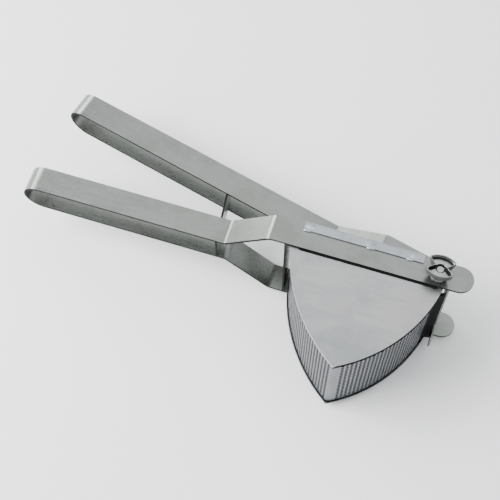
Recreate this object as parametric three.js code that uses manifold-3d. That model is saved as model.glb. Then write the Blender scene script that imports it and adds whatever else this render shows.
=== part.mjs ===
// A triangular-basket potato ricer. Lengths are in millimetres, +Z is up.
// While it is drawn, the pivot bolt stands on the Z axis, the handles run towards -X and
// the basket points towards -Y. The last lines move the origin to the middle of the bounding
// box, on the level of the lowest face.
import * as THREE from "three";
import { mergeVertices } from "three/addons/utils/BufferGeometryUtils.js";
import Module from "manifold-3d";

const wasm = await Module();
wasm.setup();

// ---------------------------------------------------------------- driving dimensions
const overallLength = 410; // loop end of the basket half to the rounded strap ends
const frameHeight = 106; // over the top and bottom straps
const gap = 0.3; // between pieces that touch or are welded together
const running = 0.4; // between pieces that slide past each other

const strap = { width: 23.5, thickness: 2.5, bendRadius: 9, overhang: 30, gripHeight: 34 };
const basketRamp = { outer: 186, inner: 145 }; // distances from the pivot
const pressRamp = { outer: 100, inner: 53 };
const pressShorter = 3; // the press handle ends this much short of the basket handle
const pressEnd = { radius: 10, taper: 14 }; // its rounded end, and where it starts to narrow

const restAngle = 13.7; // degrees between the two handles as the ricer lies
const closedAngle = 7.4; // degrees between them with the press fully closed

const sheet = 1.2; // thickness of the basket and pusher sheet
const basket = {
  left: 128.8, // from the pivot to the corner beside the handle
  right: 8.6, // from the pivot to the corner beside the bolt
  apexX: 62.6,
  apexY: 105.3,
  leftRadius: 156,
  rightRadius: 136,
  inset: 1.6, // the plates stand proud of the wall by this much
  foldRadius: 2.5, // of the wall at the apex
  boltGap: 15, // the wall stops this far short of the bolt, to let the pusher's hub turn
};
const lip = { left: 119.5, right: 14.5, width: 8.5, root: 2 };

const spacerPlate = { x: -129.8, thickness: 1.8, far: 4.4 };
const potRest = { x: 10.5, thickness: 1.8, tabLength: 14, tabHeight: 22, cornerRadius: 4 };
const guide = { x: -193.5, thickness: 2, near: -10.7, far: 46, slimmer: 1.2, turn: 6 };

const pusher = {
  wallClearance: 2.6, // between its face and the basket wall when closed
  tipRadius: 117, // from the pivot
  hubRadius: 9.8,
  hubFrom: -60, // degrees, where the webs' round edge about the bolt begins
  faceStart: 13, // the face starts this far from the bolt
  thickness: 2,
  strapWeld: 43, // how far the webs run out along the press straps
  weldTip: 47,
  ribAt: [0.42, 0.78], // where the ribs meet the face, as shares of its length
};

const bolt = { radius: 4, above: 8.2, chamfer: 0.8, clearance: 0.35 };
const boltHead = { radius: 9.5, height: 4, rim: 0.8, crownRadius: 5.2, shoulder: [8.1, 2.4] };
const washer = { radius: 8, thickness: 1.4 };
const sleeve = { radius: 6.5 };
const wingNut = {
  hubRadius: 5.6,
  hubHeight: 6.5,
  corner: [11.9, 5.8], // where a wing's curved edge ends, about the axis
  edgeRadius: 18, // of that curved edge
  waist: 5.2, // half the width between the wings
  wall: 1.4,
  baseHeight: 1.6,
  height: 13.5,
  turn: -2, // degrees, how it was left after tightening
};

// Straight stretches that stand for each curve.
const steps = {
  bend: 4,
  loop: 16,
  strapEnd: 16,
  plateSide: 14,
  pusherFace: 40,
  hub: 10,
  tabCorner: 5,
  wing: 12,
  round: 40,
};
const cutMargin = 1; // a cut runs on past the solid by this much
const mergeDistance = 1e-4; // points nearer than this are one point
const leastLength = 1e-9; // a shorter stretch, squared, has no direction

// ---------------------------------------------------------------- derived dimensions
const halfHeight = frameHeight / 2;
const halfWidth = strap.width / 2;
const handleReach = overallLength - strap.overhang;
const plateZ = halfHeight - strap.thickness - gap; // outer face of a basket plate
const plateInnerZ = plateZ - sheet;
const pressStrapZ = plateInnerZ - running; // outer face of a press strap
const pressInnerZ = pressStrapZ - strap.thickness;
const webZ = pressInnerZ - gap; // outer face of a pusher web
const webInnerZ = webZ - sheet;
const boreRadius = bolt.radius + bolt.clearance;
const rad = THREE.MathUtils.degToRad;

// ---------------------------------------------------------------- solids and booleans
function toSolid(geometry) {
  const bare = new THREE.BufferGeometry();
  const source = geometry.index ? geometry.toNonIndexed() : geometry;
  bare.setAttribute("position", source.getAttribute("position"));
  const merged = mergeVertices(bare, mergeDistance);
  return new wasm.Manifold(
    new wasm.Mesh({
      numProp: 3,
      vertProperties: new Float32Array(merged.attributes.position.array),
      triVerts: new Uint32Array(merged.index.array),
    }),
  );
}

function toGeometry(solid) {
  const mesh = solid.getMesh();
  const geometry = new THREE.BufferGeometry();
  geometry.setAttribute("position", new THREE.BufferAttribute(mesh.vertProperties, 3));
  geometry.setIndex(new THREE.BufferAttribute(mesh.triVerts, 1));
  geometry.computeVertexNormals();
  return geometry;
}

const shapeOf = (points) => new THREE.Shape(points.map(([x, y]) => new THREE.Vector2(x, y)));

// A plan outline, thick from z = bottom to z = top.
function slab(points, bottom, top) {
  const geometry = new THREE.ExtrudeGeometry(shapeOf(points), {
    depth: top - bottom,
    bevelEnabled: false,
  });
  return toSolid(geometry.translate(0, 0, bottom));
}

// An outline in the XZ plane, thick from y = near to y = far.
function sideSlab(points, near, far) {
  const geometry = new THREE.ExtrudeGeometry(shapeOf(points), {
    depth: far - near,
    bevelEnabled: false,
  });
  return toSolid(geometry.rotateX(Math.PI / 2).translate(0, far, 0));
}

// An outline in the YZ plane, thick from x = left to x = right.
function endSlab(points, left, right) {
  const geometry = new THREE.ExtrudeGeometry(shapeOf(points), {
    depth: right - left,
    bevelEnabled: false,
  });
  return toSolid(geometry.rotateZ(Math.PI / 2).rotateY(Math.PI / 2).translate(left, 0, 0));
}

// A solid of revolution about the Z axis, from [radius, z] points that start and end on it.
function turned(profile) {
  const points = profile.map(([r, z]) => new THREE.Vector2(r, z));
  return toSolid(new THREE.LatheGeometry(points, steps.round).rotateX(Math.PI / 2));
}

const rod = (radius, bottom, top) =>
  turned([[0, bottom], [radius, bottom], [radius, top], [0, top]]);

// ---------------------------------------------------------------- outlines
// Points along an arc from a to b, bulging to the left of the way from a to b.
function arcBetween(a, b, radius, count) {
  const [dx, dy] = [b[0] - a[0], b[1] - a[1]];
  const chord = Math.hypot(dx, dy);
  const back = Math.sqrt(radius * radius - (chord * chord) / 4);
  const centre = [
    (a[0] + b[0]) / 2 + (dy / chord) * back,
    (a[1] + b[1]) / 2 - (dx / chord) * back,
  ];
  const from = Math.atan2(a[1] - centre[1], a[0] - centre[0]);
  const sweep = -2 * Math.asin(chord / 2 / radius);
  return Array.from({ length: count + 1 }, (_, i) => {
    const angle = from + (sweep * i) / count;
    return [centre[0] + radius * Math.cos(angle), centre[1] + radius * Math.sin(angle)];
  });
}

const circlePoints = (cx, cy, radius, from, to, count) =>
  Array.from({ length: count + 1 }, (_, i) => {
    const angle = rad(from + ((to - from) * i) / count);
    return [cx + radius * Math.cos(angle), cy + radius * Math.sin(angle)];
  });

// The open path through the points with each inner corner rounded.
function rounded(points, radius) {
  const out = [points[0]];
  for (let i = 1; i < points.length - 1; i += 1) {
    const [p, corner, q] = [points[i - 1], points[i], points[i + 1]].map(
      (v) => new THREE.Vector2(...v),
    );
    const u = p.clone().sub(corner).normalize();
    const v = q.clone().sub(corner).normalize();
    const half = Math.acos(THREE.MathUtils.clamp(u.dot(v), -1, 1)) / 2;
    const cut = radius / Math.tan(half);
    const start = corner.clone().addScaledVector(u, cut);
    const end = corner.clone().addScaledVector(v, cut);
    const inwards = u.clone().add(v).normalize();
    const centre = corner.clone().addScaledVector(inwards, radius / Math.sin(half));
    const a0 = Math.atan2(start.y - centre.y, start.x - centre.x);
    let sweep = Math.atan2(end.y - centre.y, end.x - centre.x) - a0;
    if (sweep > Math.PI) sweep -= 2 * Math.PI;
    if (sweep < -Math.PI) sweep += 2 * Math.PI;
    for (let k = 0; k <= steps.bend; k += 1) {
      const a = a0 + (sweep * k) / steps.bend;
      out.push([centre.x + radius * Math.cos(a), centre.y + radius * Math.sin(a)]);
    }
  }
  out.push(points[points.length - 1]);
  return out;
}

// A path moved sideways, to its left by a positive distance.
function offset(path, distance) {
  return path.map(([x, y], i) => {
    const [px, py] = path[Math.max(i - 1, 0)];
    const [qx, qy] = path[Math.min(i + 1, path.length - 1)];
    const before = new THREE.Vector2(x - px, y - py);
    const after = new THREE.Vector2(qx - x, qy - y);
    if (before.lengthSq() < leastLength) before.copy(after);
    if (after.lengthSq() < leastLength) after.copy(before);
    const normal = before.normalize().add(after.normalize()).normalize();
    const miter = distance / Math.sqrt((1 + before.dot(after)) / 2);
    return [x - normal.y * miter, y + normal.x * miter];
  });
}

// A band of even thickness on both sides of a path, as a closed outline.
const band = (path, thickness) => [
  ...offset(path, -thickness / 2),
  ...offset(path, thickness / 2).reverse(),
];

// ---------------------------------------------------------------- the two handle straps
// The middle line of one long strap, seen from the side: top end, ramp down to the grip,
// round the loop, and back along the bottom.
function strapLine({ level, grip, rampInner, rampOuter, reach, right }) {
  const top = rounded(
    [[right, level], [-rampInner, level], [-rampOuter, grip], [-(reach - grip), grip]],
    strap.bendRadius,
  );
  const loopX = -(reach - grip - strap.thickness / 2);
  const loop = circlePoints(loopX, 0, grip, 90, 270, steps.loop);
  const bottom = top.map(([x, z]) => [x, -z]).reverse();
  return [...top.slice(0, -1), ...loop, ...bottom.slice(1)];
}

// A strap along its middle line, trimmed to its outline in plan and bored for the bolt.
const trimmedStrap = (line, plan) =>
  sideSlab(band(line, strap.thickness), -halfWidth, halfWidth)
    .intersect(slab(plan, -frameHeight, frameHeight))
    .subtract(rod(boreRadius, -frameHeight, frameHeight));

function basketStrap() {
  const line = strapLine({
    level: halfHeight - strap.thickness / 2,
    grip: (strap.gripHeight - strap.thickness) / 2,
    rampInner: basketRamp.inner,
    rampOuter: basketRamp.outer,
    reach: handleReach,
    right: strap.overhang,
  });
  const endCentre = strap.overhang - halfWidth;
  return trimmedStrap(line, [
    ...circlePoints(endCentre, 0, halfWidth, -90, 90, steps.strapEnd),
    [-overallLength, halfWidth],
    [-overallLength, -halfWidth],
  ]);
}

function pressStrap() {
  const line = strapLine({
    level: pressStrapZ - strap.thickness / 2,
    grip: (strap.gripHeight - strap.thickness) / 2,
    rampInner: pressRamp.inner,
    rampOuter: pressRamp.outer,
    reach: handleReach - pressShorter,
    right: halfWidth,
  });
  return trimmedStrap(line, [
    ...circlePoints(0, 0, pressEnd.radius, -90, 90, steps.strapEnd),
    [-pressEnd.taper, halfWidth],
    [-overallLength, halfWidth],
    [-overallLength, -halfWidth],
    [-pressEnd.taper, -halfWidth],
  ]);
}

// ---------------------------------------------------------------- the basket
const apex = [-basket.apexX, -basket.apexY];
const leftCorner = [-basket.left, 0];
const rightCorner = [basket.right, 0];
const leftArc = arcBetween(apex, leftCorner, basket.leftRadius, steps.plateSide).reverse();
const rightArc = arcBetween(rightCorner, apex, basket.rightRadius, steps.plateSide).reverse();

// The two curved sides of a plate, from the handle corner by the apex to the bolt corner.
const curvedSides = [...leftArc, ...rightArc.slice(1)];

// The basket's top plate. Its straight edge is folded up round the strap's far edge and
// lies on the strap as a lip.
function basketPlate() {
  const edge = halfWidth + gap;
  const plate = slab(
    [[-basket.left, edge], ...curvedSides, [basket.right, edge]],
    plateInnerZ,
    plateZ,
  );
  const lipTop = halfHeight + gap + sheet;
  const fold = [
    [edge - lip.root, plateInnerZ],
    [edge + sheet, plateInnerZ],
    [edge + sheet, lipTop],
    [edge + sheet - lip.width, lipTop],
    [edge + sheet - lip.width, lipTop - sheet],
    [edge, lipTop - sheet],
    [edge, plateZ],
    [edge - lip.root, plateZ],
  ];
  return plate
    .add(endSlab(fold, -lip.left, -lip.right))
    .subtract(rod(boreRadius, 0, frameHeight));
}

// The middle line of the wall in plan, from the handle corner round the apex to the bolt.
function wallLine() {
  const inwards = basket.inset + sheet / 2;
  const left = offset(leftArc, inwards);
  const right = offset(rightArc, inwards);
  const corner = meetingPoint(left, right);
  const kept = left.filter(([x]) => x < corner[0] - basket.foldRadius);
  const after = right.filter(
    ([, y]) => y > corner[1] + 2 * basket.foldRadius && y < -basket.boltGap,
  );
  const fold = rounded([kept[kept.length - 1], corner, after[0]], basket.foldRadius);
  const start = [kept[0][0], spacerPlate.far];
  return [start, ...kept.slice(0, -1), ...fold, ...after.slice(1)];
}

// Where the last stretch of one path, drawn out, meets the first stretch of the next.
function meetingPoint(first, second) {
  const [a, b] = [first[first.length - 2], first[first.length - 1]];
  const [c, d] = [second[0], second[1]];
  const [ux, uy] = [b[0] - a[0], b[1] - a[1]];
  const [vx, vy] = [d[0] - c[0], d[1] - c[1]];
  const t = ((c[0] - a[0]) * vy - (c[1] - a[1]) * vx) / (ux * vy - uy * vx);
  return [a[0] + ux * t, a[1] + uy * t];
}

const basketWall = () =>
  slab(band(wallLine(), sheet), -(plateInnerZ - gap), plateInnerZ - gap);

// A plate between the two straps beside the basket, which keeps them apart.
function spacer() {
  const reach = halfHeight - strap.thickness - gap;
  return endSlab(
    [[-halfWidth, -reach], [spacerPlate.far, -reach], [spacerPlate.far, reach], [-halfWidth, reach]],
    spacerPlate.x - spacerPlate.thickness,
    spacerPlate.x,
  );
}

// The plate at the bolt end, with a tab that hooks over the rim of a pan.
function potRestPlate() {
  const reach = halfHeight - strap.thickness - gap;
  const tabEnd = -halfWidth - potRest.tabLength;
  const tabTop = -reach + potRest.tabHeight;
  const r = potRest.cornerRadius;
  return endSlab(
    [
      ...circlePoints(tabEnd + r, -reach + r, r, 180, 270, steps.tabCorner),
      [halfWidth, -reach],
      [halfWidth, reach],
      [-halfWidth, reach],
      [-halfWidth, tabTop],
      ...circlePoints(tabEnd + r, tabTop - r, r, 90, 180, steps.tabCorner),
    ],
    potRest.x,
    potRest.x + potRest.thickness,
  );
}

// The plate that stands between the legs of the basket handle and runs into the loop of
// the press handle, to keep the two in line.
function guidePlate() {
  const full = strap.gripHeight / 2 - strap.thickness - gap;
  const slim = full - guide.slimmer;
  const plate = endSlab(
    [
      [guide.near, -full],
      [halfWidth, -full],
      [halfWidth, -slim],
      [guide.far, -slim],
      [guide.far, slim],
      [halfWidth, slim],
      [halfWidth, full],
      [guide.near, full],
    ],
    -guide.thickness,
    0,
  );
  return plate
    .translate([0, -guide.near, 0])
    .rotate([0, 0, guide.turn])
    .translate([guide.x, guide.near, 0]);
}

// ---------------------------------------------------------------- the pusher
// Drawn with the press closed and its handle turned by closedAngle, so the face follows
// the basket wall; the caller turns it into the press strap's frame.
const pusherOffset = basket.inset + sheet + pusher.wallClearance + pusher.thickness / 2;

function pusherFaceLine() {
  const wall = arcBetween(rightCorner, apex, basket.rightRadius, steps.pusherFace).reverse();
  const reach = ([x, y]) => Math.hypot(x, y);
  return offset(wall, pusherOffset).filter(
    (p) => reach(p) < pusher.tipRadius && p[1] < -pusher.faceStart,
  );
}

const pusherFace = () =>
  slab(band(pusherFaceLine(), pusher.thickness), -(webInnerZ - gap), webInnerZ - gap);

// A web: round the bolt, along the inside of the press strap, and fanned out to the face.
function pusherWeb() {
  const face = offset(pusherFaceLine(), -pusher.thickness / 2 - running);
  const along = rad(180 - closedAngle);
  const [ux, uy] = [Math.cos(along), Math.sin(along)];
  const onStrap = (distance, side) => [ux * distance - uy * side, uy * distance + ux * side];
  const hubTo = 90 - closedAngle;
  const hub = circlePoints(0, 0, pusher.hubRadius, pusher.hubFrom, hubTo, steps.hub);
  const outline = [
    ...face,
    ...hub,
    onStrap(pusher.strapWeld, -pusher.hubRadius),
    onStrap(pusher.weldTip, 0),
  ];
  return slab(outline, webInnerZ, webZ).subtract(rod(boreRadius, 0, frameHeight));
}

// An upright rib between the two webs, from the face back towards the strap.
function pusherRib(share) {
  const line = pusherFaceLine();
  const at = line[Math.round((line.length - 1) * (1 - share))];
  const along = rad(180 - closedAngle);
  const reach = pusher.strapWeld * share;
  const foot = [Math.cos(along) * reach, Math.sin(along) * reach];
  const top = webInnerZ - gap;
  const clearOfFace = slab(band(line, pusher.thickness + 2 * gap), -frameHeight, frameHeight);
  return slab(band([at, foot], sheet), -top, top).subtract(clearOfFace);
}

// ---------------------------------------------------------------- bolt, sleeve and nut
function pivotBolt() {
  const seat = -halfHeight - gap;
  const top = halfHeight + bolt.above;
  const [shoulderRadius, shoulderDrop] = boltHead.shoulder;
  return turned([
    [0, seat - boltHead.height],
    [boltHead.crownRadius, seat - boltHead.height],
    [shoulderRadius, seat - shoulderDrop],
    [boltHead.radius, seat - boltHead.rim],
    [boltHead.radius, seat],
    [bolt.radius, seat],
    [bolt.radius, top - bolt.chamfer],
    [bolt.radius - bolt.chamfer, top],
    [0, top],
  ]);
}

const ring = (outer, inner, bottom, top) =>
  rod(outer, bottom, top).subtract(rod(inner, bottom - cutMargin, top + cutMargin));

// A closed outline, counter-clockwise, moved inwards.
const inset = (closed, distance) =>
  offset([closed[closed.length - 1], ...closed, closed[0]], distance).slice(1, -1);

// The wing nut: a flanged hub inside a sheet wall in the outline of an hourglass.
function wingNutSolid() {
  const base = halfHeight + gap + washer.thickness + gap;
  const floor = base + wingNut.baseHeight;
  const [x, y] = wingNut.corner;
  const farEdge = arcBetween([-x, y], [x, y], wingNut.edgeRadius, steps.wing).reverse();
  const nearEdge = arcBetween([x, -y], [-x, -y], wingNut.edgeRadius, steps.wing).reverse();
  const outline = [...farEdge, [-wingNut.waist, 0], ...nearEdge, [wingNut.waist, 0]];
  const rim = base + wingNut.height;
  const wings = slab(outline, base, rim);
  const hollow = slab(inset(outline, wingNut.wall), floor, rim + cutMargin);
  return wings
    .subtract(hollow)
    .add(rod(wingNut.hubRadius, base, base + wingNut.hubHeight))
    .subtract(rod(bolt.radius + gap, 0, frameHeight));
}

// ---------------------------------------------------------------- finishes
const finish = (color, roughness) =>
  new THREE.MeshStandardMaterial({ color, roughness, metalness: 1 });
const steel = {
  strap: () => finish(0xb4b8b3, 0.38),
  sheet: () => finish(0xb9bcbb, 0.34),
  perforated: () => finish(0xa9aeb2, 0.42),
  bright: () => finish(0xc6cac8, 0.22),
};

const named = (name, solid, material) => {
  const mesh = new THREE.Mesh(toGeometry(solid), material);
  mesh.name = name;
  return mesh;
};

// The same solid upside down, for the bottom of the frame.
const under = (solid) => solid.mirror([0, 0, 1]);

// ---------------------------------------------------------------- the ricer
const basketHalf = new THREE.Group();
basketHalf.add(
  named("basket_handle_strap", basketStrap(), steel.strap()),
  named("basket_top_plate", basketPlate(), steel.sheet()),
  named("basket_bottom_plate", under(basketPlate()), steel.sheet()),
  named("basket_perforated_wall", basketWall(), steel.perforated()),
  named("frame_spacer_plate", spacer(), steel.strap()),
  named("pan_rest_plate", potRestPlate(), steel.strap()),
  named("handle_guide_plate", guidePlate(), steel.strap()),
);

const pivot = new THREE.Group();
const sleeveEnd = webInnerZ - gap;
const washerBottom = halfHeight + gap;
const sleeveSolid = ring(sleeve.radius, boreRadius, -sleeveEnd, sleeveEnd);
const washerSolid = ring(
  washer.radius,
  boreRadius,
  washerBottom,
  washerBottom + washer.thickness,
);
pivot.add(
  named("pivot_bolt", pivotBolt(), steel.bright()),
  named("pivot_sleeve", sleeveSolid, steel.bright()),
  named("pivot_washer", washerSolid, steel.bright()),
);

const nut = named("wing_nut", wingNutSolid(), steel.bright());
nut.rotation.z = rad(wingNut.turn);
pivot.add(nut);

const pressHalf = new THREE.Group();
pressHalf.rotation.z = rad(-restAngle);
pressHalf.add(named("press_handle_strap", pressStrap(), steel.strap()));

const pusherGroup = new THREE.Group();
pusherGroup.rotation.z = rad(closedAngle);
pusherGroup.add(
  named("pusher_face", pusherFace(), steel.sheet()),
  named("pusher_top_web", pusherWeb(), steel.sheet()),
  named("pusher_bottom_web", under(pusherWeb()), steel.sheet()),
);
pusher.ribAt.forEach((share, i) => {
  pusherGroup.add(named(`pusher_rib_${i + 1}`, pusherRib(share), steel.sheet()));
});
pressHalf.add(pusherGroup);

const ricer = new THREE.Group();
ricer.add(basketHalf, pivot, pressHalf);

// Origin in the middle of the bounding box, on its lowest level.
const box = new THREE.Box3().setFromObject(ricer, true);
const middle = box.getCenter(new THREE.Vector3());
ricer.position.set(-middle.x, -middle.y, -box.min.z);

const group = new THREE.Group();
group.add(ricer);

export default group;
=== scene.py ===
"""Looks for the triangular-basket potato ricer: stainless steel straps, plates, a perforated
wall and a pressed wing nut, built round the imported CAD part.

Lengths are in millimetres about the pivot: the bolt stands on Z, the handles run towards -X
and the basket points towards -Y. mesh_object turns them into metres and puts them in place.
"""

import math
import random

import bmesh
import bpy
from mathutils import Matrix, Vector


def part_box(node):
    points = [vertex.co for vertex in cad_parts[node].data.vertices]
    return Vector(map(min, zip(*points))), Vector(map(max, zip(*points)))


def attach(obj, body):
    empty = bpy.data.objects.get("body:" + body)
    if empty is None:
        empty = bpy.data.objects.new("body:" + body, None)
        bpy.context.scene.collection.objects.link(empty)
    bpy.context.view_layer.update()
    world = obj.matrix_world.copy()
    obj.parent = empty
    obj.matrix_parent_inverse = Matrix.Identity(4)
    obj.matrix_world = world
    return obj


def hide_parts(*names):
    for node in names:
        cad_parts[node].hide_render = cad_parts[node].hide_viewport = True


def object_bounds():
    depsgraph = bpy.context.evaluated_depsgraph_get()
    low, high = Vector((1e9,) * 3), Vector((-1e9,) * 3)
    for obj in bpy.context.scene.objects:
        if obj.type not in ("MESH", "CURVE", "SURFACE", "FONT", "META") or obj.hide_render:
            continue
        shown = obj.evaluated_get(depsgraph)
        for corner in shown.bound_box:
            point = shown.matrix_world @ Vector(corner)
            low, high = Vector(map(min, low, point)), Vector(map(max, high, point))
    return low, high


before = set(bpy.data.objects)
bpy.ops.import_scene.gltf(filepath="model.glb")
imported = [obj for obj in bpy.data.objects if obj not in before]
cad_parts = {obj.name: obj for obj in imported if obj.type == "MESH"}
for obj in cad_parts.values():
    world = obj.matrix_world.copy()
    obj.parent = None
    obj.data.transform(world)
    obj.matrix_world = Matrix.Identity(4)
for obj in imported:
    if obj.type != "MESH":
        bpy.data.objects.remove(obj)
cad_low, cad_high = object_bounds()
random.seed(11)

# ---------------------------------------------------------------- driving dimensions
MM = 0.001
REST_ANGLE = math.radians(13.7)  # between the two handles
CLOSED_ANGLE = math.radians(7.4)  # between them where the pusher follows the wall

STRAP_WIDTH = 23.5
STRAP_THICKNESS = 2.5
BEND_RADIUS = 9
GRIP_HEIGHT = 34
BASKET_STRAP = {"level": 51.75, "ramp": (145, 186), "reach": 380, "end": 18.25, "radius": 11.75}
PRESS_STRAP = {"level": 47.35, "ramp": (53, 100), "reach": 377, "end": 0, "radius": 10}
PRESS_TAPER = 14  # the press strap starts to narrow this far from the pivot
STRAP_TIP = 0.05  # half the width that a strap's round end closes to
ROUNDING = {"strap": 0.3, "sheet": 0.25, "web": 0.2}  # of the pieces' sharp edges

SHEET = 1.2
APEX = (-62.6, -105.3)
LEFT_CORNER = (-128.8, 0)
RIGHT_CORNER = (8.6, 0)
LEFT_RADIUS = 156
RIGHT_RADIUS = 136
PLATE_Z = 49.6  # middle of the sheet
PLATE_EDGE = 12.05  # the straight edge, where the sheet turns up round the strap
LIP = {"left": -119.5, "right": -14.5, "width": 8.5, "z": 53.9, "bend": 1.5, "root": 2}
SPOTS_ON_LIP = {"x": (-114, -61, -22), "inside": 4, "sunk": 0.1, "size": (9, 5, 0.45)}
SPOTS_BESIDE_LIP = {"x": (-116, -60.7, -26), "size": (7, 2.4, 1.3)}

WALL_INSET = 2.2  # from the plate's edge to the middle of the wall
WALL_FOLD = 2.5
WALL_START = 4.4  # y of its edge beside the handle
WALL_END = -15  # y of its edge beside the bolt
WALL_HALF_HEIGHT = 48.7
HOLE = {"radius": 1.55, "pitch": 4.0, "rows": 23}
MARGIN = {"start": 7, "before_fold": 2, "after_fold": 6.5, "end": 11}
WIDEST_COLUMN = {"before": 2.0, "after": 1.0}  # of the plain sheet on each side of the holes

SPACER = {"x": (-131.6, -129.8), "y": (-11.75, 4.4), "half": 50.2}
PAN_REST = {"x": (10.5, 12.3), "half": 50.2, "tab": 14, "tab_height": 22, "corner": 4}
GUIDE = {"x": -193.5, "thickness": 2, "y": (-10.7, 11.75, 46), "half": 14.2, "slim": 13.0, "turn": 6}

PUSHER = {"offset": 6.4, "tip": 117, "start": 13, "thickness": 2, "half": 44.3}

# These beads, shaped like welds, are near-black: painted shade and painted shadow by the plates, strap and
# pan rest.
WALL_FOOT_SHADE_BEAD = {"radius": 0.95, "lift": 0.2}
PLATE_EDGE_SHADOW_BEAD = {"radius": 1.3, "inset": 0.7, "drop": 1.0}
STRAP_SHADOW_BEAD = {"radius": 1.05, "gap": 0.5, "x": range(-118, 6, 4)}
WALL_END_SHADE_BEAD = {"radius": 2.3, "waist": 2.0, "segments": 16, "gap": 0.2}

BOLT = {"radius": 4, "root": 3.45, "pitch": 1.4, "thread_from": 50, "chamfer": 0.7}
HEAD = {"seat": -53.3, "radius": 9.5, "rim": 0.9, "dome": 3.1, "bore": 0.4, "gap": 0.02}
WASHER = {"outer": 8, "inner": 4.35, "low": 53.3, "high": 54.7, "soft": 0.35}
WING = {"corner": (11.9, 5.8), "edge_radius": 18, "waist": 5.2, "turn": -2, "height": 13.5, "base": 55.0}
WING_FOOT = 0.72  # the wall's foot is this share of its rim, about the bolt
WING_FLARE = 7.0  # height over which the wall leans out
WING_FLOOR = 8.3  # height of the pocket's floor over the nut's base
WING_WAIST_SHADE = 0.9  # cosine of the angle up to which the faces by the waist are painted dark, as painted shade

# A face's finish is the index of its material in its piece.
# In most pieces the EDGE material is near-black, as painted shade.
FACE, EDGE = 0, 1  # most pieces
WELD, FOLD, RIM = 2, 3, 4  # the basket's plates, besides those two
PAINTED_SHADE_FACE = 2  # the pan rest, besides those two
OUTSIDE, INSIDE, CUT = 0, 1, 2  # the wall; INSIDE and CUT are painted dark, as painted shade
BRIGHT, SHADED, CREASE = 0, 1, 2  # the wing nut; SHADED and CREASE are painted dark, as painted shade

# ---------------------------------------------------------------- places in the frame
bolt_low, bolt_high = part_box("pivot_bolt")
strap_low, strap_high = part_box("basket_handle_strap")
PIVOT = Vector(
    (
        (bolt_low.x + bolt_high.x) / 2,
        (bolt_low.y + bolt_high.y) / 2,
        (strap_low.z + strap_high.z) / 2,
    )
)
BOLT_TOP = (bolt_high.z - PIVOT.z) / MM
BOLT_BOTTOM = (bolt_low.z - PIVOT.z) / MM
HALF_WIDTH = STRAP_WIDTH / 2


# ---------------------------------------------------------------- outlines
def circle(cx, cy, radius, start, end, steps):
    """Points of an arc, from one angle in degrees to another."""
    angles = [math.radians(start + (end - start) * i / steps) for i in range(steps + 1)]
    return [(cx + radius * math.cos(a), cy + radius * math.sin(a)) for a in angles]


def arc_between(a, b, radius, steps):
    """Points from a to b, bulging to the left of the way from a to b."""
    start, way = Vector(a), Vector(b) - Vector(a)
    chord = way.length
    back = math.sqrt(radius**2 - chord**2 / 4)
    centre = start + way / 2 + Vector((way.y, -way.x)) / chord * back
    first = math.atan2(start.y - centre.y, start.x - centre.x)
    sweep = -2 * math.asin(chord / 2 / radius)
    angles = [first + sweep * i / steps for i in range(steps + 1)]
    return [(centre.x + radius * math.cos(t), centre.y + radius * math.sin(t)) for t in angles]


def rounded(points, radius, steps=8):
    """An open path through the points, with each inner corner rounded."""
    out = [points[0]]
    for before, corner, after in zip(points, points[1:], points[2:]):
        corner = Vector(corner)
        u = (Vector(before) - corner).normalized()
        v = (Vector(after) - corner).normalized()
        half = u.angle(v) / 2
        centre = corner + (u + v).normalized() * radius / math.sin(half)
        start = corner + u * radius / math.tan(half) - centre
        end = corner + v * radius / math.tan(half) - centre
        sweep = -start.angle_signed(end)
        first = math.atan2(start.y, start.x)
        for i in range(steps + 1):
            t = first + sweep * i / steps
            out.append((centre.x + radius * math.cos(t), centre.y + radius * math.sin(t)))
    return [*out, points[-1]]


def normals(path):
    """The unit normal at each point, to the left of the path."""
    out = []
    for i in range(len(path)):
        before = Vector(path[max(i - 1, 0)])
        after = Vector(path[min(i + 1, len(path) - 1)])
        way = (after - before).normalized()
        out.append(Vector((-way.y, way.x)))
    return out


def offset(path, distance):
    """The path moved to its left by a distance."""
    return [tuple(Vector(p) + n * distance) for p, n in zip(path, normals(path))]


def band(path, thickness):
    """The closed outline of a sheet whose middle line is the path."""
    return [*offset(path, -thickness / 2), *reversed(offset(path, thickness / 2))]


def distances(path):
    """How far along the path each point is."""
    out = [0.0]
    for a, b in zip(path, path[1:]):
        out.append(out[-1] + (Vector(b) - Vector(a)).length)
    return out


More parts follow.
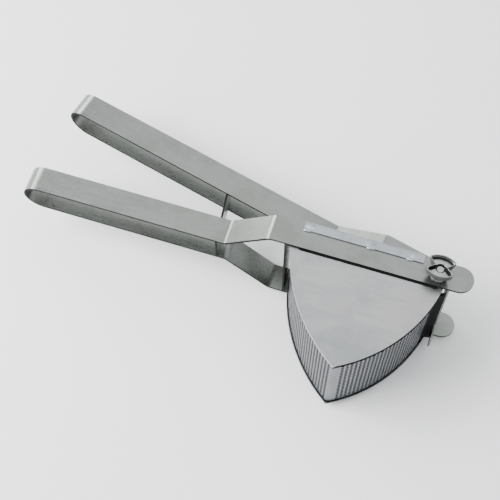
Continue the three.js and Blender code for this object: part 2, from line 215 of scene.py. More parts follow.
# ---------------------------------------------------------------- meshes
class Shape:
    """Closed solids collected for one mesh, with a finish for each face."""

    def __init__(self):
        self.points, self.faces, self.finishes = [], [], []

    def add(self, points, faces, finish=FACE):
        """finish is one index for every face, or a function of the face's number."""
        first = len(self.points)
        self.points += [tuple(p) for p in points]
        for i, face in enumerate(faces):
            self.faces.append([first + v for v in face])
            self.finishes.append(finish(i) if callable(finish) else finish)

    def loft(self, loops, finish=FACE):
        """A solid between closed loops with the same number of points."""
        count = len(loops[0])
        points = [p for loop in loops for p in loop]
        faces = [list(range(count))]
        for row in range(len(loops) - 1):
            for i in range(count):
                j = (i + 1) % count
                a, b = row * count + i, row * count + j
                faces.append([a, b, b + count, a + count])
        faces.append([(len(loops) - 1) * count + i for i in range(count)])
        self.add(points, faces, finish)

    def prism(self, outline, low, high, place, side=EDGE):
        """An outline made thick; place(a, b, depth) gives the point. side is the finish of its
        edge, or a function of the edge's number."""
        count = len(outline)
        points = [place(a, b, depth) for depth in (low, high) for a, b in outline]
        faces = [list(range(count)), list(range(count, 2 * count))]
        faces += [[i, (i + 1) % count, (i + 1) % count + count, i + count] for i in range(count)]

        def finish(i):
            if i < 2:
                return FACE
            return side(i - 2) if callable(side) else side

        self.add(points, faces, finish)

    def ring(self, profile, centre=(0, 0), segments=48):
        """A closed profile of (radius, z) points turned about an upright axis."""
        count = len(profile)
        points = []
        for k in range(segments):
            t = 2 * math.pi * k / segments
            x, y = math.cos(t), math.sin(t)
            points += [(centre[0] + r * x, centre[1] + r * y, z) for r, z in profile]
        faces = []
        for k in range(segments):
            for i in range(count):
                a, b = k * count, (k + 1) % segments * count
                j = (i + 1) % count
                faces.append([a + i, a + j, b + j, b + i])
        self.add(points, faces)


def from_above(x, y, z):
    """Places an outline drawn in plan."""
    return (x, y, z)


def from_end(y, z, x):
    """Places an outline drawn as seen along X."""
    return (x, y, z)


def mesh_object(name, shape, turn=0.0):
    """The shape as an object in metres, its origin on the pivot, turned about the bolt."""
    mesh = bpy.data.meshes.new(name)
    mesh.from_pydata([Vector(p) * MM for p in shape.points], [], shape.faces)
    for polygon, finish in zip(mesh.polygons, shape.finishes):
        polygon.material_index = finish
    bm = bmesh.new()
    bm.from_mesh(mesh)
    bmesh.ops.remove_doubles(bm, verts=bm.verts, dist=1e-6)
    bmesh.ops.recalc_face_normals(bm, faces=bm.faces)
    bm.to_mesh(mesh)
    bm.free()
    obj = bpy.data.objects.new(name, mesh)
    bpy.context.scene.collection.objects.link(obj)
    obj.matrix_world = Matrix.Translation(PIVOT) @ Matrix.Rotation(turn, 4, "Z")
    return obj


def soften(obj, width, finish=-1):
    """Rounds the sharp edges and smooths the rest. finish is the rounded edges' material, and
    -1 takes their neighbours'."""
    sharp = math.radians(35)
    obj.data.shade_smooth()
    obj.data.set_sharp_from_angle(angle=sharp)
    if width:
        bevel = obj.modifiers.new("rounded edges", "BEVEL")
        bevel.width = width * MM
        bevel.segments = 2
        bevel.limit_method = "ANGLE"
        bevel.angle_limit = sharp
        bevel.harden_normals = True
        bevel.material = finish


def piece(name, shape, body, node, materials, bevel=ROUNDING["strap"], turn=0.0, finish=-1):
    """A piece that stands for a CAD node and rides on its body. bevel and finish are the size
    and the material of its rounded edges."""
    obj = mesh_object(name, shape, turn)
    for material in materials:
        obj.data.materials.append(material)
    soften(obj, bevel, finish=finish)
    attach(obj, body)
    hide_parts(node)
    return obj


# ---------------------------------------------------------------- steel
def add_node(tree, kind, inputs=(), **settings):
    """A node with its settings and inputs; an input that is a socket is linked."""
    made = tree.nodes.new(kind)
    for key, value in settings.items():
        setattr(made, key, value)
    for key, value in dict(inputs).items():
        if isinstance(value, bpy.types.NodeSocket):
            tree.links.new(value, made.inputs[key])
        else:
            made.inputs[key].default_value = value
    return made


def noise(tree, place, scale, detail=3.0, roughness=0.55, stretch=(1, 1, 1), shift=0.0):
    """Noise whose features are about 1 / scale millimetres across, stretched along an axis."""
    size = Vector(stretch) * scale / MM
    inputs = {"Vector": place, "Scale": size, "Location": (shift, shift, shift)}
    mapping = add_node(tree, "ShaderNodeMapping", inputs)
    made = add_node(
        tree,
        "ShaderNodeTexNoise",
        {"Vector": mapping.outputs[0], "Scale": 1.0, "Detail": detail, "Roughness": roughness},
    )
    return made.outputs["Fac"]


def spread(tree, value, low, high, to_low=0.0, to_high=1.0):
    """The value's range low to high, spread over to_low to to_high."""
    made = add_node(
        tree,
        "ShaderNodeMapRange",
        {"Value": value, "From Min": low, "From Max": high, "To Min": to_low, "To Max": to_high},
    )
    return made.outputs[0]


def mix(tree, share, a, b):
    """Two colours mixed; 0, 6 and 7 are the node's sockets for the share and the colours."""
    made = add_node(tree, "ShaderNodeMix", data_type="RGBA")
    for key, value in ((0, share), (6, a), (7, b)):
        if isinstance(value, bpy.types.NodeSocket):
            tree.links.new(value, made.inputs[key])
        else:
            made.inputs[key].default_value = value
    return made.outputs[2]


def maths(tree, operation, a, b):
    """A sum on two values or sockets."""
    return add_node(tree, "ShaderNodeMath", {0: a, 1: b}, operation=operation).outputs[0]


def steel(name, base, stain, grain, roughness, patch=0.03, worn=0.35, shiny=True):
    """Satin stainless steel: rolled grain, cloudy patches, fine scratches and bright worn edges.
    base and stain are the colours of the clean and the clouded metal, grain the stretch of the
    rolling lines, patch the inverse size of the clouds in millimetres. Metal that isn't shiny
    stands in for shade: it is painted dark, as painted shade, and hardly reflects."""
    material = bpy.data.materials.new(name)
    material.use_nodes = True
    tree = material.node_tree
    shader = tree.nodes["Principled BSDF"]
    place = add_node(tree, "ShaderNodeTexCoord").outputs["Object"]

    # Patterns
    lines = noise(tree, place, 2.2, detail=4.0, stretch=grain)
    fine = noise(tree, place, 7.0, detail=2.0, stretch=grain, shift=3.1)
    clouds = noise(tree, place, patch, detail=5.0, roughness=0.6, shift=1.7)
    tints = noise(tree, place, patch * 0.8, detail=2.0, shift=7.9)
    specks = noise(tree, place, 0.35, detail=6.0, roughness=0.7, shift=5.3)
    broad = tuple(min(1.0, 6 * g) for g in grain)
    streaks = noise(tree, place, 0.16, detail=4.0, roughness=0.6, stretch=broad, shift=2.6)
    scratch = noise(tree, place, 1.1, detail=1.0, stretch=(0.06, 1.6, 0.4), shift=9.2)

    # Colour: clean metal with warmer tints, then stains, grain, scratches and worn edges
    pale = (*[min(1.0, c * 1.3) for c in base], 1)
    warm = (base[0] * 1.02, base[1] * 0.95, base[2] * 0.97, 1)
    tinted = mix(tree, spread(tree, tints, 0.42, 0.62), (*base, 1), warm)
    cloud = spread(tree, clouds, 0.42, 0.60, 0.0, 0.75)
    streak = spread(tree, streaks, 0.40, 0.66, 0.0, 0.45)
    colour = mix(tree, maths(tree, "MAXIMUM", cloud, streak), tinted, (*stain, 1))
    lined = mix(tree, spread(tree, lines, 0.3, 0.75, 0.0, 0.3), colour, pale)
    scratched = mix(tree, spread(tree, scratch, 0.68, 0.74, 0.0, 0.35), lined, pale)
    edges = add_node(tree, "ShaderNodeNewGeometry").outputs["Pointiness"]
    wear = spread(tree, edges, 0.51, 0.56, 0.0, worn)
    tree.links.new(mix(tree, wear, scratched, pale), shader.inputs["Base Color"])

    # Roughness: uneven with the grain, speckled, and lower where it is worn
    rough = spread(tree, lines, 0.25, 0.75, roughness - 0.05, roughness + 0.06)
    rough = maths(tree, "ADD", rough, spread(tree, specks, 0.35, 0.7, -0.03, 0.05))
    rough = maths(tree, "SUBTRACT", rough, maths(tree, "MULTIPLY", wear, 0.12))
    tree.links.new(rough, shader.inputs["Roughness"])

    # Relief: rolled lines over shallow dents
    height = maths(tree, "ADD", lines, maths(tree, "MULTIPLY", fine, 0.5))
    bump = add_node(tree, "ShaderNodeBump", {"Strength": 0.10, "Distance": 0.00006, "Height": height})
    dents = add_node(
        tree,
        "ShaderNodeBump",
        {"Strength": 0.12, "Distance": 0.0006, "Height": clouds, "Normal": bump.outputs[0]},
    )
    tree.links.new(dents.outputs[0], shader.inputs["Normal"])
    shader.inputs["Metallic"].default_value = 1.0 if shiny else 0.0
    shader.inputs["Specular IOR Level"].default_value = 0.5 if shiny else 0.04
    return material


ALONG_X = (0.02, 1.0, 1.0)
ALONG_Y = (1.0, 0.02, 1.0)
ALONG_Z = (1.0, 1.0, 0.04)
EVEN = (1.0, 1.0, 1.0)

strap_steel = steel("strap steel", (0.225, 0.24, 0.228), (0.145, 0.16, 0.14), ALONG_X, 0.32)
sheet_steel = steel("sheet steel", (0.35, 0.355, 0.355), (0.15, 0.18, 0.185), ALONG_X, 0.32, patch=0.016)
# Painted highlight: a near-white rim for the top plate's bowed edges.
rim_painted_highlight = steel("rim painted highlight", (0.86, 0.87, 0.88), (0.70, 0.72, 0.74), ALONG_X, 0.30)
lip_steel = steel("lip steel", (0.35, 0.38, 0.40), (0.19, 0.215, 0.235), ALONG_X, 0.38, patch=0.08)
wall_steel = steel("wall steel", (0.135, 0.147, 0.16), (0.10, 0.11, 0.12), ALONG_Z, 0.36)
bright_steel = steel("bright steel", (0.34, 0.36, 0.34), (0.20, 0.22, 0.21), ALONG_Y, 0.20, patch=0.1)
weld_steel = steel("weld steel", (0.46, 0.49, 0.51), (0.14, 0.16, 0.17), EVEN, 0.40, patch=0.45)
# Painted shade: near-black for the wall's inside and the pan rest's face towards the basket.
inside_painted_shade = steel("painted shade inside", (0.03, 0.032, 0.033), (0.02, 0.022, 0.023), ALONG_Z, 0.5, shiny=False)
shaded_steel = steel(
    "shaded steel", (0.075, 0.08, 0.077), (0.03, 0.034, 0.032), ALONG_Y, 0.40, patch=0.1, shiny=False,
)
# Painted shade: near-black for the straps' and plates' edges, the holes' walls, the wall's end and the
# nut's creases.
black_painted_shade = steel(
    "painted shade edge", (0.012, 0.013, 0.013), (0.007, 0.008, 0.008), ALONG_Z, 0.5, worn=0.0, shiny=False,
)
painted_shade_weld = steel(
    "dark weld", (0.006, 0.006, 0.007), (0.003, 0.003, 0.004), EVEN, 0.5, patch=0.3, worn=0.0, shiny=False,
)


# ---------------------------------------------------------------- the two handle straps
def strap_line(strap):
    """The middle line seen from the side: top end, ramp, grip, loop, and back underneath."""
    inner, outer = strap["ramp"]
    grip = (GRIP_HEIGHT - STRAP_THICKNESS) / 2
    loop_x = -(strap["reach"] - STRAP_THICKNESS / 2 - grip)
    top = rounded(
        [(strap["end"], strap["level"]), (-inner, strap["level"]), (-outer, grip), (loop_x, grip)],
        BEND_RADIUS,
    )
    loop = circle(loop_x, 0, grip, 90, 270, 40)
    bottom = [(x, -z) for x, z in reversed(top)]
    return [*top[:-1], *loop, *bottom[1:]]


def strap_shape(strap, taper):
    """The strap as a row of cross-sections, with a round end at each end. taper is how far
    back from the end's centre the strap starts to narrow, or 0 where it keeps its width."""
    level, centre, radius = strap["level"], strap["end"], strap["radius"]
    steps = 14
    angles = [math.pi / 2 * i / steps for i in range(steps, 0, -1)]
    nose = [
        (centre + radius * math.sin(t), max(radius * math.cos(t), STRAP_TIP)) for t in angles
    ]
    line = strap_line(strap)
    if taper:
        nose += [(centre, radius), (centre - taper, HALF_WIDTH)]
        line = line[1:-1]
    stations = [(x, level, Vector((0, 1)), half) for x, half in nose]
    stations += [(x, z, -n, HALF_WIDTH) for (x, z), n in zip(line, normals(line))]
    stations += [(x, -level, Vector((0, -1)), half) for x, half in reversed(nose)]

    loops = []
    for x, z, out, half in stations:
        outer = Vector((x, z)) + out * STRAP_THICKNESS / 2
        inner = Vector((x, z)) - out * STRAP_THICKNESS / 2
        sides = [(outer, half), (outer, -half), (inner, -half), (inner, half)]
        loops.append([(spot.x, y, spot.y) for spot, y in sides])
    last = 4 * (len(loops) - 1)

    def finish(i):
        """The first and last faces close the ends; between them every second face is an edge."""
        return EDGE if 0 < i <= last and i % 2 == 0 else FACE

    shape = Shape()
    shape.loft(loops, finish)
    return shape


# The straps' side faces and rounded edges are near-black, as painted shade.
piece(
    "basket_strap", strap_shape(BASKET_STRAP, 0), "basket_half", "basket_handle_strap",
    [strap_steel, black_painted_shade], finish=EDGE,
)
piece(
    "press_strap", strap_shape(PRESS_STRAP, PRESS_TAPER), "press_half", "press_handle_strap",
    [strap_steel, black_painted_shade], turn=-REST_ANGLE, finish=EDGE,
)

# ---------------------------------------------------------------- the basket
left_arc = list(reversed(arc_between(APEX, LEFT_CORNER, LEFT_RADIUS, 48)))
right_arc = list(reversed(arc_between(RIGHT_CORNER, APEX, RIGHT_RADIUS, 48)))


def weld_spot(shape, x, y, z, length, width, height):
    """A flat lump of weld, longer along X, with a rippled rim."""
    levels, around = 6, 20
    least = 0.02  # share of the size that the top closes to
    loops = []
    for k in range(levels + 1):
        rise = math.pi / 2 * k / levels
        reach = math.cos(rise) + least
        loop = []
        for i in range(around):
            t = 2 * math.pi * i / around
            ripple = 1 + 0.08 * math.sin(3 * t + x) + random.uniform(-0.05, 0.05)
            across = length / 2 * reach * ripple * math.cos(t)
            along_y = width / 2 * reach * ripple * math.sin(t)
            loop.append((x + across, y + along_y, z + height * math.sin(rise)))
        loops.append(loop)
    shape.loft(loops, WELD)


def plate_shape(bolt_side_painted_shade):
    """The top plate with its straight edge folded up round the strap into the lip. Its bowed
    edges take the RIM material, and if asked, the edges on the bolt's side are near-black, as painted
    shade."""
    shape = Shape()
    root = PLATE_EDGE - LIP["root"]
    outline = [(LEFT_CORNER[0], root), *left_arc, *right_arc[1:], (RIGHT_CORNER[0], root)]
    left_edge_count = len(left_arc)
    shape.prism(
        outline, PLATE_Z - SHEET / 2, PLATE_Z + SHEET / 2, from_above,
        lambda i: EDGE if bolt_side_painted_shade and i > left_edge_count else RIM,
    )

    turn_y = PLATE_EDGE + SHEET / 2
    end_y = turn_y + SHEET / 2 - LIP["width"]
    corners = [(root, PLATE_Z), (turn_y, PLATE_Z), (turn_y, LIP["z"]), (end_y, LIP["z"])]
    section = band(rounded(corners, LIP["bend"], 6), SHEET)
    shape.prism(section, LIP["left"], LIP["right"], from_end, side=FOLD)
    lip_top = LIP["z"] + SHEET / 2
    for x in SPOTS_ON_LIP["x"]:
        spot_y = end_y + SPOTS_ON_LIP["inside"]
        weld_spot(shape, x, spot_y, lip_top - SPOTS_ON_LIP["sunk"], *SPOTS_ON_LIP["size"])
    for x in SPOTS_BESIDE_LIP["x"]:
        weld_spot(shape, x, end_y, LIP["z"] - SHEET / 2, *SPOTS_BESIDE_LIP["size"])
    return shape


def mirrored(shape):
    """The same shape upside down."""
    out = Shape()
    out.add([(x, y, -z) for x, y, z in shape.points], shape.faces, lambda i: shape.finishes[i])
    return out


# The top plate's bowed rim is near-white, a painted highlight; the bottom plate's rim is plain sheet.
for place, shape, edge_steel in (
    ("top", plate_shape(True), rim_painted_highlight),
    ("bottom", mirrored(plate_shape(False)), sheet_steel),
):
    steels = [sheet_steel, black_painted_shade, weld_steel, lip_steel, edge_steel]
    piece(
        f"{place}_plate", shape, "basket_half", f"basket_{place}_plate",
        steels, bevel=ROUNDING["sheet"],
    )


def crossing(a, way_a, b, way_b):
    """Where the line through a along way_a meets the line through b along way_b."""
    gap = b - a
    share = (gap.x * way_b.y - gap.y * way_b.x) / (way_a.x * way_b.y - way_a.y * way_b.x)
    return a + way_a * share


def wall_line():
    """The wall's middle line from the handle end to the bolt, and how far along it the fold is."""
    left = [Vector(p) for p in offset(left_arc, WALL_INSET)]
    right = [Vector(p) for p in offset(right_arc, WALL_INSET)]
    corner = crossing(left[-1], left[-1] - left[-2], right[0], right[1] - right[0])
    clear = 2 * WALL_FOLD  # no point of the arcs is this close to the fold
    left = [p for p in left if (p - corner).length > clear and p.x < corner.x]
    right = [p for p in right if (p - corner).length > clear and corner.y < p.y < WALL_END]
    fold = rounded([left[-1], corner, right[0]], WALL_FOLD, 8)
    before_fold = [(left[0].x, WALL_START), *left[:-1]]
    fold_at = distances([*before_fold, *fold[: len(fold) // 2 + 1]])[-1]
    return [*before_fold, *fold, *right[1:]], fold_at


def along(line):
    """A function that gives the point and the outward normal at a distance along the line."""
    marks, outs = distances(line), normals(line)

    def at(distance):
        distance = min(max(distance, 0.0), marks[-1])
        i = next((k for k in range(len(marks) - 2) if marks[k + 1] >= distance), len(marks) - 2)
        share = (distance - marks[i]) / (marks[i + 1] - marks[i])
        point = Vector(line[i]).lerp(Vector(line[i + 1]), share)
        return point, -outs[i].lerp(outs[i + 1], share).normalized()

    return at, marks[-1]


def plain_columns(start, end, widest):
    """Columns of plain sheet from start to end, none much wider than widest."""
    steps = max(2, round((end - start) / widest))
    marks = [start + (end - start) * i / steps for i in range(steps + 1)]
    return [(a, b, None) for a, b in zip(marks, marks[1:])]


def wall_columns(length, fold_at):
    """The wall as columns of a start, an end, and 0 or 1 for holes in even or staggered rows
    (None for plain sheet)."""
    pitch = HOLE["pitch"]
    columns = []
    for start, before, end, after in (
        (0, MARGIN["start"], fold_at, MARGIN["before_fold"]),
        (fold_at, MARGIN["after_fold"], length, MARGIN["end"]),
    ):
        count = int((end - start - before - after) // pitch)
        first = end - after - count * pitch if start == 0 else start + before
        columns += plain_columns(start, first, WIDEST_COLUMN["before"])
        columns += [(first + pitch * i, first + pitch * (i + 1), i % 2) for i in range(count)]
        columns += plain_columns(first + count * pitch, end, WIDEST_COLUMN["after"])
    return columns


class HoledSheet:
    """The bent wall with real round holes; s runs along it, z up, and side 1 is its outside."""

    def __init__(self):
        line, self.fold_at = wall_line()
        self.at, self.length = along(line)
        self.points, self.index = [], {}
        self.faces, self.finishes = [], []

    def vertex(self, s, z, side):
        """The number of the point at s and z on one side, made when it is first asked for."""
        key = (round(s, 4), round(z, 4), side)
        if key not in self.index:
            self.index[key] = len(self.points)
            point, out = self.at(s)
            spot = point + out * side * SHEET / 2
            self.points.append((spot.x, spot.y, z))
        return self.index[key]

    def add(self, face, finish):
        """A face of point numbers."""
        self.faces.append(face)
        self.finishes.append(finish)

    def patch(self, rim, outside=OUTSIDE):
        """One face on each side of the sheet, with the rim's (s, z) points."""
        for side, finish in ((1, outside), (-1, INSIDE)):
            self.add([self.vertex(s, z, side) for s, z in rim][::side], finish)

    def plain(self, s0, s1, z0, z1):
        """A rectangle of sheet; the last stretch before the bolt is painted near-black, as painted shade.
        """
        painted_shade_end = s0 > self.length - MARGIN["end"]
        self.patch([(s0, z0), (s1, z0), (s1, z1), (s0, z1)], CUT if painted_shade_end else OUTSIDE)

    def cell(self, s0, s1, z0):
        """A square with a round hole: a ring of faces on each side, and the hole's own wall."""
        quarter, radius = HOLE["pitch"] / 4, HOLE["radius"]
        half = (s1 - s0) / 2
        middle_s, middle_z = s0 + half, z0 + HOLE["pitch"] / 2
        rim = [(s0 + half * i, z0) for i in range(2)]
        rim += [(s1, z0 + quarter * i) for i in range(4)]
        rim += [(s1 - half * i, z0 + 4 * quarter) for i in range(2)]
        rim += [(s0, z0 + quarter * (4 - i)) for i in range(4)]
        angles = [math.atan2(z - middle_z, s - middle_s) for s, z in rim]
        hole = [(middle_s + radius * math.cos(t), middle_z + radius * math.sin(t)) for t in angles]
        for i in range(len(rim)):
            j = (i + 1) % len(rim)
            self.patch([rim[i], rim[j], hole[j], hole[i]])
            self.add_cut(hole[i], hole[j])

    def add_cut(self, a, b):
        """A face through the sheet, from one (s, z) point to another."""
        corners = [(*a, 1), (*b, 1), (*b, -1), (*a, -1)]
        self.add([self.vertex(*corner) for corner in corners], CUT)

    def column_ends(self, s0, s1, low, high, staggered):
        """The sheet above and below a column of holes; it has a point in the middle of each
        side that meets a hole's square."""
        middle, quarter = (s0 + s1) / 2, HOLE["pitch"] / 4
        for z0, z1 in ((-WALL_HALF_HEIGHT, low), (high, WALL_HALF_HEIGHT)):
            rim = [(s0, z0), (middle, z0), (s1, z0), (s1, z1), (middle, z1), (s0, z1)]
            self.patch(rim)
        if staggered:
            for z0 in (low, high - 2 * quarter):
                z1 = z0 + 2 * quarter
                rim = [(s0, z0), (middle, z0), (s1, z0), (s1, z0 + quarter), (s1, z1)]
                rim += [(middle, z1), (s0, z1), (s0, z0 + quarter)]
                self.patch(rim)

    def shape(self):
        """The whole wall, column by column."""
        quarter, rows = HOLE["pitch"] / 4, HOLE["rows"]
        low = -rows * HOLE["pitch"] / 2
        marks = [low + quarter * i for i in range(4 * rows + 1)]
        levels = [-WALL_HALF_HEIGHT, *marks, WALL_HALF_HEIGHT]
        columns = wall_columns(self.length, self.fold_at)
        for s0, s1, stagger in columns:
            if stagger is None:
                for z0, z1 in zip(levels, levels[1:]):
                    self.plain(s0, s1, z0, z1)
                continue
            for row in range(rows - stagger):
                self.cell(s0, s1, low + quarter * (4 * row + 2 * stagger))
            self.column_ends(s0, s1, marks[0], marks[-1], stagger == 1)
        for s0, s1, stagger in columns:
            stations = [s0, s1] if stagger is None else [s0, (s0 + s1) / 2, s1]
            for a, b in zip(stations, stations[1:]):
                for z in (levels[0], levels[-1]):
                    self.add_cut((a, z), (b, z))
        for s in (columns[0][0], columns[-1][1]):
            for z0, z1 in zip(levels, levels[1:]):
                self.add_cut((s, z0), (s, z1))
        made = Shape()
        made.add(self.points, self.faces, lambda i: self.finishes[i])
        return made


# The wall's inside, the holes' walls and its end by the bolt are painted dark, as painted shade.
piece(
    "perforated_wall", HoledSheet().shape(), "basket_half", "basket_perforated_wall",
    [wall_steel, inside_painted_shade, black_painted_shade], bevel=0,
)


def bead(shape, path, z, radius):
    """A bead, shaped like weld, along a path in plan, with a slightly uneven width."""
    loops = []
    for (x, y), out in zip(path, normals(path)):
        size = radius * random.uniform(0.92, 1.08)
        ring = circle(0, 0, size, 0, 360, 8)[:-1]
        loops.append([(x - out.x * a, y - out.y * a, z + b) for a, b in ring])
    shape.loft(loops)


def seam_shape():
    """Beads shaped like welds, coloured near-black as painted shade: round the wall's foot, and as
    painted shadow under the top plate's edge by the bolt and beside the strap; and a block of painted
    shade in the corner between the wall's end and the pan rest."""
    shape = Shape()
    wall = wall_line()[0]
    top = WALL_HALF_HEIGHT
    bead(shape, offset(wall, -SHEET / 2), WALL_FOOT_SHADE_BEAD["lift"] - top, WALL_FOOT_SHADE_BEAD["radius"])
    under_edge = [p for p in offset(right_arc, PLATE_EDGE_SHADOW_BEAD["inset"]) if p[1] < WALL_END]
    bead(shape, under_edge, top - PLATE_EDGE_SHADOW_BEAD["drop"], PLATE_EDGE_SHADOW_BEAD["radius"])
    beside_strap = [(x, -HALF_WIDTH - STRAP_SHADOW_BEAD["gap"]) for x in STRAP_SHADOW_BEAD["x"]]
    bead(shape, beside_strap, PLATE_Z + SHEET / 2, STRAP_SHADOW_BEAD["radius"])

    x, y = wall[-1]
    radius, waist = WALL_END_SHADE_BEAD["radius"], WALL_END_SHADE_BEAD["waist"]
    profile = [(0, -top), (radius, -top), (waist, 0), (radius, top), (0, top)]
    shape.ring(profile, wall[-1], WALL_END_SHADE_BEAD["segments"])
    meet = PAN_REST["x"][0] - WALL_END_SHADE_BEAD["gap"]
    corner = [(x, y + 1), (meet, y + 2), (meet, y - 1), (x, y - 2)]
    shape.prism(corner, -top, top, from_above, side=FACE)
    return shape


seam = mesh_object("wall_painted_shade_beads", seam_shape())
seam.data.materials.append(painted_shade_weld)
soften(seam, 0)
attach(seam, "basket_half")


# ---------------------------------------------------------------- cross plates
def spacer_shape():
    """The plain plate between the straps beside the basket."""
    shape = Shape()
    (near, far), half = SPACER["y"], SPACER["half"]
    shape.prism([(near, -half), (far, -half), (far, half), (near, half)], *SPACER["x"], from_end)
    return shape


def pan_rest_shape():
    """A tall plate with a rounded tab low on its near side; its edges are strap steel, and its face
    towards the basket is painted dark as painted shade.
    """
    shape = Shape()
    half, corner = PAN_REST["half"], PAN_REST["corner"]
    tab_y = -HALF_WIDTH - PAN_REST["tab"]
    tab_z = -half + PAN_REST["tab_height"]
    outline = [
        *circle(tab_y + corner, -half + corner, corner, 180, 270, 8),
        (HALF_WIDTH, -half),
        (HALF_WIDTH, half),
        (-HALF_WIDTH, half),
        *circle(-HALF_WIDTH - corner / 2, tab_z + corner / 2, corner / 2, 0, -90, 5),
        *circle(tab_y + corner, tab_z - corner, corner, 90, 180, 8),
    ]
    shape.prism(outline, *PAN_REST["x"], from_end, side=FACE)
    shape.finishes[0] = PAINTED_SHADE_FACE  # painted shade, on the face towards the basket
    return shape


def guide_shape():
    """The plate between the legs of the basket handle, slimmer where it meets the press."""
    shape = Shape()
    near, middle, far = GUIDE["y"]
    half, slim = GUIDE["half"], GUIDE["slim"]
    outline = [
        (near, -half), (middle, -half), (middle, -slim), (far, -slim),
        (far, slim), (middle, slim), (middle, half), (near, half),
    ]
    turn = math.radians(GUIDE["turn"])

    def turned(y, z, x):
        across = y - near
        return (
            GUIDE["x"] + x * math.cos(turn) - across * math.sin(turn),
            near + across * math.cos(turn) + x * math.sin(turn),
            z,
        )

    shape.prism(outline, -GUIDE["thickness"], 0, turned)
    return shape


# These plates' edges are near-black, as painted shade.
for name, node, shape in (
    ("spacer_plate", "frame_spacer_plate", spacer_shape()),
    ("pan_rest", "pan_rest_plate", pan_rest_shape()),
    ("guide_plate", "handle_guide_plate", guide_shape()),
):
    steels = [strap_steel, black_painted_shade, inside_painted_shade]
    piece(name, shape, "basket_half", node, steels)


# ---------------------------------------------------------------- the pusher
def pusher_face_shape():
    """The curved face, in line with the basket wall when the press is closed."""
    wall = list(reversed(arc_between(RIGHT_CORNER, APEX, RIGHT_RADIUS, 90)))
    line = [
        p for p in offset(wall, PUSHER["offset"])
        if Vector(p).length < PUSHER["tip"] and p[1] < -PUSHER["start"]
    ]
    shape = Shape()
    shape.prism(band(line, PUSHER["thickness"]), -PUSHER["half"], PUSHER["half"], from_above)
    return shape


piece(
    "pusher_curved_face", pusher_face_shape(), "press_half", "pusher_face",
    [shaded_steel, shaded_steel], turn=CLOSED_ANGLE - REST_ANGLE,
)


# ---------------------------------------------------------------- bolt, washer and wing nut
def bolt_shape():
    """A low domed head, a plain shank, and a screw thread under the wing nut."""
    seat, bore = HEAD["seat"], HEAD["bore"]
    profile = [(2 * bore, seat), (HEAD["radius"], seat), (HEAD["radius"], seat - HEAD["rim"])]
    for i in range(1, 10):
        t = math.pi / 2 * i / 10
        dome = (HEAD["radius"] * math.cos(t), seat - HEAD["rim"] - HEAD["dome"] * math.sin(t))
        profile.append(dome)
    profile += [(bore, BOLT_BOTTOM), (bore, seat)]

    segments, per_turn = 48, 10
    step = BOLT["pitch"] / per_turn
    thread_to = BOLT_TOP - BOLT["chamfer"]
    rows = [([BOLT["radius"]] * segments, z) for z in (seat + HEAD["gap"], BOLT["thread_from"])]
    for k in range(1, int((thread_to - BOLT["thread_from"]) / step)):
        z = BOLT["thread_from"] + step * k
        phases = [(z / BOLT["pitch"] - i / segments) % 1.0 for i in range(segments)]
        depth = BOLT["radius"] - BOLT["root"]
        rows.append(([BOLT["radius"] - depth * abs(2 * phase - 1) for phase in phases], z))
    rows.append(([BOLT["root"]] * segments, thread_to))
    rows.append(([BOLT["root"] - BOLT["chamfer"]] * segments, BOLT_TOP))

    angles = [2 * math.pi * i / segments for i in range(segments)]
    loops = []
    for radii, z in rows:
        loops.append([(r * math.cos(a), r * math.sin(a), z) for r, a in zip(radii, angles)])
    shape = Shape()
    shape.loft(loops)
    shape.ring(profile)
    return shape


def washer_shape():
    """A flat ring with softened outer edges."""
    inner, outer, soft = WASHER["inner"], WASHER["outer"], WASHER["soft"]
    low, high = WASHER["low"], WASHER["high"]
    shape = Shape()
    shape.ring(
        [
            (inner, low), (outer - soft, low), (outer, low + soft),
            (outer, high - soft), (outer - soft, high), (inner, high),
        ]
    )
    return shape


def wing_reach(angle):
    """How far the hourglass outline is from the axis at an angle in degrees."""
    corner_x, corner_y = WING["corner"]
    across, up = abs(math.cos(math.radians(angle))), abs(math.sin(math.radians(angle)))
    if up * corner_x >= across * corner_y:
        centre_y = corner_y - math.sqrt(WING["edge_radius"] ** 2 - corner_x**2)
        return centre_y * up + math.sqrt(WING["edge_radius"] ** 2 - (centre_y * across) ** 2)
    return WING["waist"] * corner_y / (across * corner_y - up * (corner_x - WING["waist"]))


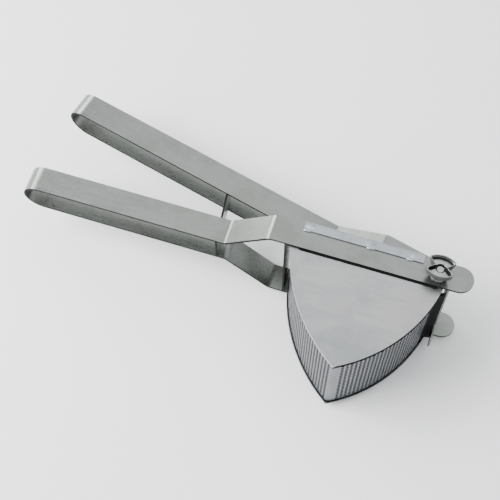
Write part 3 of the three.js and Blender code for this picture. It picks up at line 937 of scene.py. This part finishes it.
def wing_nut_shape():
    """A pressed nut: a hub inside a wall that flares up to an hourglass rim. A profile's points
    are how far in from the wall's outside, and how high over the nut's base."""
    count = 144
    angles = [2 * math.pi * i / count for i in range(count)]
    sharp_rim = [wing_reach(math.degrees(a)) for a in angles]
    rim = [sum(sharp_rim[(i + k) % count] for k in (-2, -1, 0, 1, 2)) / 5 for i in range(count)]
    bore = BOLT["radius"] + 0.2
    height, floor = WING["height"], WING_FLOOR
    outside = [(1.0, 0.0), (0.3, 0.0), (0.0, 0.4), (0.0, 2.5), (0.0, 5.0), (0.0, 9.0), (0.0, height - 0.5)]
    top = [(0.3, height), (0.9, height), (1.2, height - 0.4)]
    inside = [(1.3, floor + 2.0), (1.5, floor + 0.9), (2.3, floor)]
    rows = []
    for inwards, z in [*outside, *top, *inside]:
        flare = WING_FOOT + (1 - WING_FOOT) * min(1.0, z / WING_FLARE)
        rows.append(([max(r * flare - inwards, bore + 0.4) for r in rim], z))
    rows += [([bore + 0.3] * count, floor), ([bore] * count, floor - 0.3), ([bore] * count, 0.0)]
    points = [
        (r * math.cos(a), r * math.sin(a), WING["base"] + z)
        for radii, z in rows
        for a, r in zip(angles, radii)
    ]

    first_top = len(outside)
    first_inside = first_top + len(top)
    first_hub = first_inside + len(inside)
    faces, finishes = [], []
    for row in range(len(rows)):
        after = (row + 1) % len(rows)
        for i in range(count):
            j = (i + 1) % count
            faces.append([row * count + i, row * count + j, after * count + j, after * count + i])
            # The outer wall, the crease and the faces by the waist are painted dark, as painted shade.
            creased = row in (first_inside, first_inside + 1)
            waist_shaded = abs(math.cos(angles[i])) > WING_WAIST_SHADE and first_top + 2 <= row < first_hub
            if creased or waist_shaded:
                finishes.append(CREASE)
            else:
                finishes.append(SHADED if row < first_top else BRIGHT)
    shape = Shape()
    shape.add(points, faces, lambda i: finishes[i])
    return shape


piece("bolt", bolt_shape(), "basket_half", "pivot_bolt", [bright_steel], bevel=0)
piece("washer", washer_shape(), "basket_half", "pivot_washer", [bright_steel], bevel=0)
piece(
    "pressed_wing_nut", wing_nut_shape(), "clamp_nut", "wing_nut",
    [bright_steel, shaded_steel, black_painted_shade], bevel=0, turn=math.radians(WING["turn"]),
)

# ---------------------------------------------------------------- CAD nodes that stay
for name, material in (
    ("pivot_sleeve", bright_steel),
    ("pusher_top_web", shaded_steel),
    ("pusher_bottom_web", shaded_steel),
    ("pusher_rib_1", shaded_steel),
    ("pusher_rib_2", shaded_steel),
):
    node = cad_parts[name]
    node.data.materials.clear()
    node.data.materials.append(material)
    soften(node, ROUNDING["web"])


# ---------------------------------------------------------------- floor, light and camera
FLOOR_HALF = 6.0  # metres
FLOOR_GAP = 0.0002  # metres under the ricer
CAMERA = {"azimuth": 17.85, "elevation": 65.0, "roll": -0.29, "distance": 1013.8, "lens": 81.36}
SENSOR_WIDTH = 36  # millimetres, as the distance and the lens
AIM = Vector((-164.9, -3.5, 0))  # where the camera looks, about the pivot


def direction(azimuth, elevation):
    """The unit vector from the ricer to a lamp or camera; azimuth 0 is in front, on -Y."""
    a, e = math.radians(azimuth), math.radians(elevation)
    return Vector((math.sin(a) * math.cos(e), -math.cos(a) * math.cos(e), math.sin(e)))


def floor():
    """A pale floor, a little mottled, under the ricer."""
    mesh = bpy.data.meshes.new("floor")
    corners = [(FLOOR_HALF * a, FLOOR_HALF * b, 0) for a, b in ((-1, -1), (1, -1), (1, 1), (-1, 1))]
    mesh.from_pydata(corners, [], [(0, 1, 2, 3)])
    obj = bpy.data.objects.new("floor", mesh)
    bpy.context.scene.collection.objects.link(obj)
    obj.location.z = cad_low.z - FLOOR_GAP
    material = bpy.data.materials.new("pale floor")
    material.use_nodes = True
    tree = material.node_tree
    shader = tree.nodes["Principled BSDF"]
    place = add_node(tree, "ShaderNodeTexCoord").outputs["Object"]
    clouds = noise(tree, place, 0.01)
    colour = mix(tree, clouds, (0.90, 0.90, 0.90, 1), (0.93, 0.93, 0.93, 1))
    tree.links.new(colour, shader.inputs["Base Color"])
    shader.inputs["Roughness"].default_value = 0.9
    shader.inputs["Specular IOR Level"].default_value = 0.1
    mesh.materials.append(material)


def softbox(name, azimuth, elevation, distance, size, power):
    """A square lamp that faces the basket; distance and size are in metres, power in watts."""
    back = direction(azimuth, elevation)
    lamp = bpy.data.lights.new(name, "AREA")
    lamp.shape = "SQUARE"
    lamp.size = size
    lamp.energy = power
    obj = bpy.data.objects.new(name, lamp)
    bpy.context.scene.collection.objects.link(obj)
    obj.location = (cad_low + cad_high) / 2 + back * distance
    obj.rotation_mode = "QUATERNION"
    obj.rotation_quaternion = (-back).to_track_quat("-Z", "Y")


floor()
softbox("key", azimuth=-70, elevation=45, distance=1.6, size=1.1, power=60)
softbox("top", azimuth=180, elevation=66, distance=1.8, size=1.5, power=5.5)
softbox("side", azimuth=-119, elevation=20, distance=1.6, size=0.6, power=12)
world = bpy.data.worlds.new("studio")
world.use_nodes = True
world.node_tree.nodes["Background"].inputs["Color"].default_value = (0.96, 0.98, 1.0, 1)
world.node_tree.nodes["Background"].inputs["Strength"].default_value = 1.2
bpy.context.scene.world = world

camera_data = bpy.data.cameras.new("camera")
camera_data.lens = CAMERA["lens"]
camera_data.sensor_width = SENSOR_WIDTH
camera = bpy.data.objects.new("camera", camera_data)
bpy.context.scene.collection.objects.link(camera)
back = direction(CAMERA["azimuth"], CAMERA["elevation"])
camera.location = PIVOT + (AIM + back * CAMERA["distance"]) * MM
camera.rotation_mode = "QUATERNION"
roll = Matrix.Rotation(math.radians(CAMERA["roll"]), 3, "Z").to_quaternion()
camera.rotation_quaternion = (-back).to_track_quat("-Z", "Y") @ roll
bpy.context.scene.camera = camera
